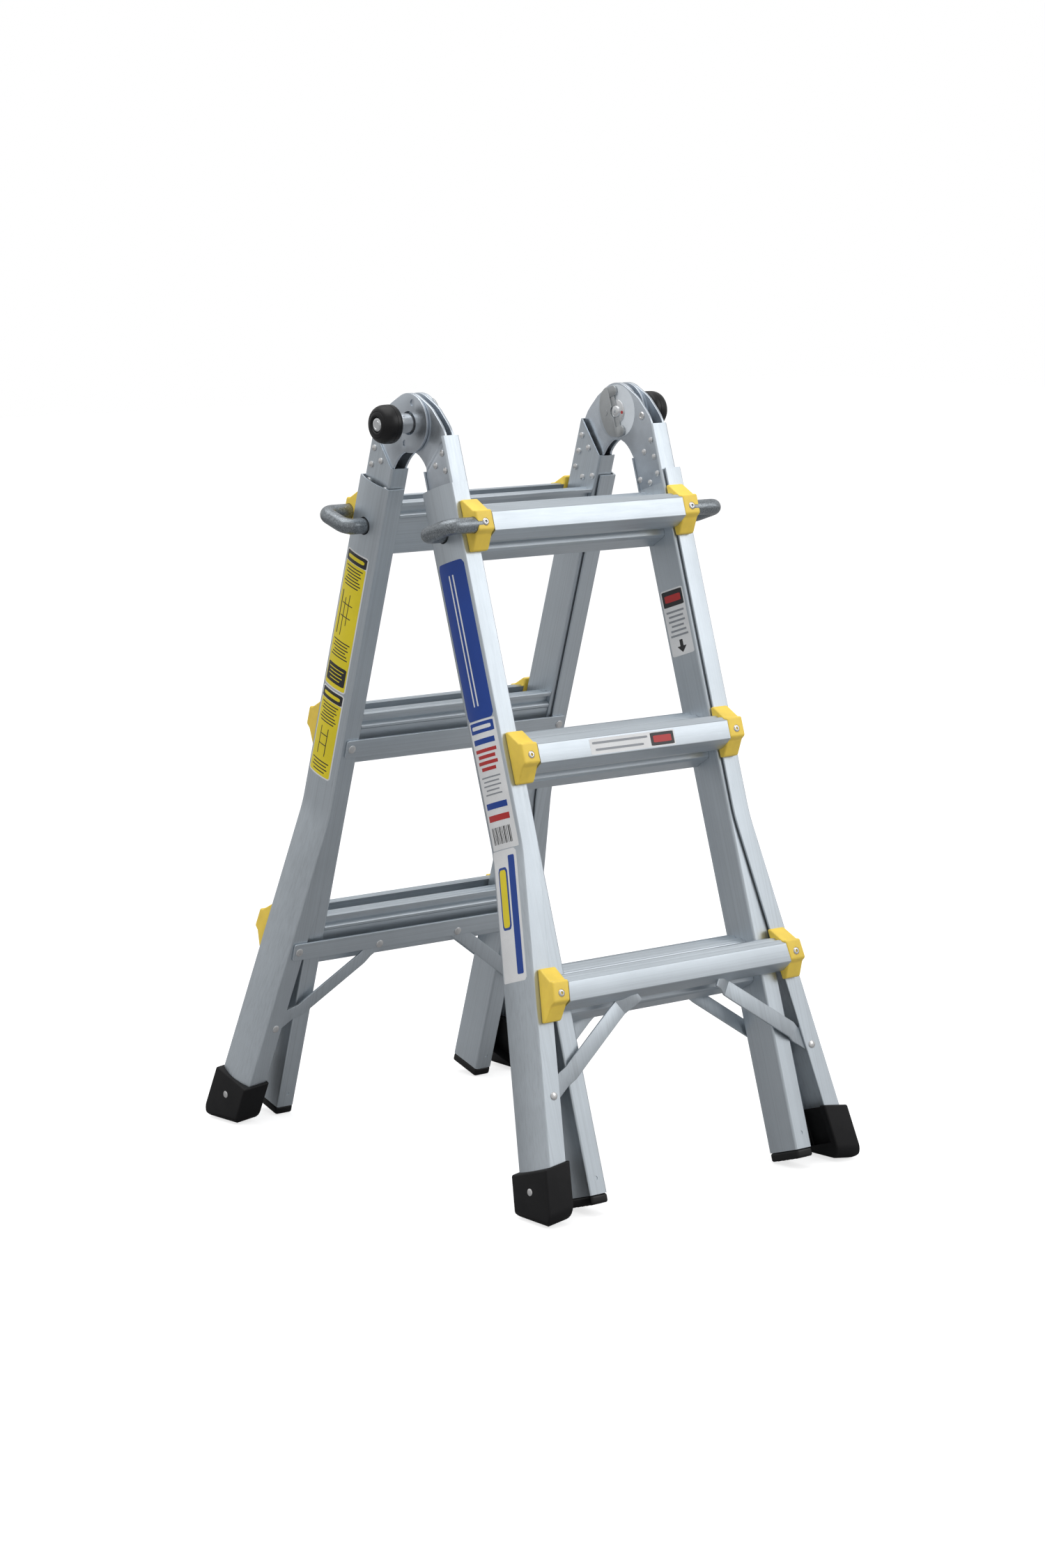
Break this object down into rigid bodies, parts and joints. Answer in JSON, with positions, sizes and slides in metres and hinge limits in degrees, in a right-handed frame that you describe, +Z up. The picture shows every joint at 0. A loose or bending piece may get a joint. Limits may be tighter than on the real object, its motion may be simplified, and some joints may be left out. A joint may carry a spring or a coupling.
{
  "type": "multi position telescoping ladder",
  "caption": "Hinged telescoping ladder with flared outer rails, yellow rung brackets, bent lock pins and knob-released hinges, standing as a stepladder.",
  "frame": {"origin": "centre of the footprint, on the floor under the hinge axis", "axes": "+Z up; X along the rungs and the hinge axis; -Y towards the front half, +Y towards the back half"},
  "size_m": [0.5432, 0.7614, 1.0258],
  "materials": {
    "aluminium_rail": "mill finish extrusion, satin",
    "hinge_steel": "zinc plated, satin",
    "cast_grey": "cast, speckled grey",
    "yellow_plastic": "moulded, satin",
    "black_plastic": "moulded, satin",
    "black_rubber": "matt"
  },
  "bodies": {
    "front_inner": {"front_inner_rail_left": "aluminium_rail", "front_end_cap_left": "black_plastic", "hinge_front_leaf_left": "hinge_steel", "front_inner_rail_right": "aluminium_rail", "front_end_cap_right": "black_plastic", "hinge_front_leaf_right": "hinge_steel", "front_inner_rung_top": "aluminium_rail", "front_inner_rung_middle": "aluminium_rail", "front_inner_rung_low": "aluminium_rail"},
    "front_outer": {"front_outer_rail_left": "aluminium_rail", "front_boot_left": "black_rubber", "front_bracket_top_left": "yellow_plastic", "front_bracket_middle_left": "yellow_plastic", "front_bracket_low_left": "yellow_plastic", "front_outer_rail_right": "aluminium_rail", "front_boot_right": "black_rubber", "front_bracket_top_right": "yellow_plastic", "front_bracket_middle_right": "yellow_plastic", "front_bracket_low_right": "yellow_plastic", "front_outer_rung_top": "aluminium_rail", "front_outer_rung_middle": "aluminium_rail", "front_outer_rung_low": "aluminium_rail", "front_strap_middle": "aluminium_rail", "front_strap_low": "aluminium_rail"},
    "front_lock_pin_left": {"front_lock_pin_left": "cast_grey"},
    "front_lock_pin_right": {"front_lock_pin_right": "cast_grey"},
    "back_inner": {"back_inner_rail_left": "aluminium_rail", "back_end_cap_left": "black_plastic", "hinge_back_leaf_left": "hinge_steel", "back_inner_rail_right": "aluminium_rail", "back_end_cap_right": "black_plastic", "hinge_back_leaf_right": "hinge_steel", "back_inner_rung_top": "aluminium_rail", "back_inner_rung_middle": "aluminium_rail", "back_inner_rung_low": "aluminium_rail"},
    "back_outer": {"back_outer_rail_left": "aluminium_rail", "back_boot_left": "black_rubber", "back_bracket_top_left": "yellow_plastic", "back_bracket_middle_left": "yellow_plastic", "back_bracket_low_left": "yellow_plastic", "back_outer_rail_right": "aluminium_rail", "back_boot_right": "black_rubber", "back_bracket_top_right": "yellow_plastic", "back_bracket_middle_right": "yellow_plastic", "back_bracket_low_right": "yellow_plastic", "back_outer_rung_top": "aluminium_rail", "back_outer_rung_middle": "aluminium_rail", "back_outer_rung_low": "aluminium_rail", "back_strap_middle": "aluminium_rail", "back_strap_low": "aluminium_rail"},
    "back_lock_pin_left": {"back_lock_pin_left": "cast_grey"},
    "back_lock_pin_right": {"back_lock_pin_right": "cast_grey"},
    "hinge_lock_left": {"hinge_knob_left": "black_plastic", "hinge_lock_yoke_left": "cast_grey"},
    "hinge_lock_right": {"hinge_knob_right": "black_plastic", "hinge_lock_yoke_right": "cast_grey"}
  },
  "joints": [
    {"name": "hinge_fold", "type": "hinge", "parent": "front_inner", "child": "back_inner", "pos_m": [0, 0, 0.98682], "axis": [1, 0, 0], "range_deg": [-34.5, 145.5]},
    {"name": "front_extend", "type": "slide", "parent": "front_inner", "child": "front_outer", "axis": [0, -0.2965, -0.955], "range_m": [0, 0.61]},
    {"name": "back_extend", "type": "slide", "parent": "back_inner", "child": "back_outer", "axis": [0, 0.2965, -0.955], "range_m": [0, 0.61]},
    {"name": "front_lock_pin_pull_left", "type": "slide", "parent": "front_outer", "child": "front_lock_pin_left", "axis": [-1, 0, 0], "range_m": [0, 0.028], "stiffness_N_per_m": 800, "springref_m": -0.01},
    {"name": "front_lock_pin_pull_right", "type": "slide", "parent": "front_outer", "child": "front_lock_pin_right", "axis": [1, 0, 0], "range_m": [0, 0.028], "stiffness_N_per_m": 800, "springref_m": -0.01},
    {"name": "back_lock_pin_pull_left", "type": "slide", "parent": "back_outer", "child": "back_lock_pin_left", "axis": [-1, 0, 0], "range_m": [0, 0.028], "stiffness_N_per_m": 800, "springref_m": -0.01},
    {"name": "back_lock_pin_pull_right", "type": "slide", "parent": "back_outer", "child": "back_lock_pin_right", "axis": [1, 0, 0], "range_m": [0, 0.028], "stiffness_N_per_m": 800, "springref_m": -0.01},
    {"name": "hinge_lock_push_left", "type": "slide", "parent": "back_inner", "child": "hinge_lock_left", "axis": [1, 0, 0], "range_m": [0, 0.02], "stiffness_N_per_m": 1500, "springref_m": -0.006},
    {"name": "hinge_lock_push_right", "type": "slide", "parent": "front_inner", "child": "hinge_lock_right", "axis": [-1, 0, 0], "range_m": [0, 0.02], "stiffness_N_per_m": 1500, "springref_m": -0.006}
  ]
}
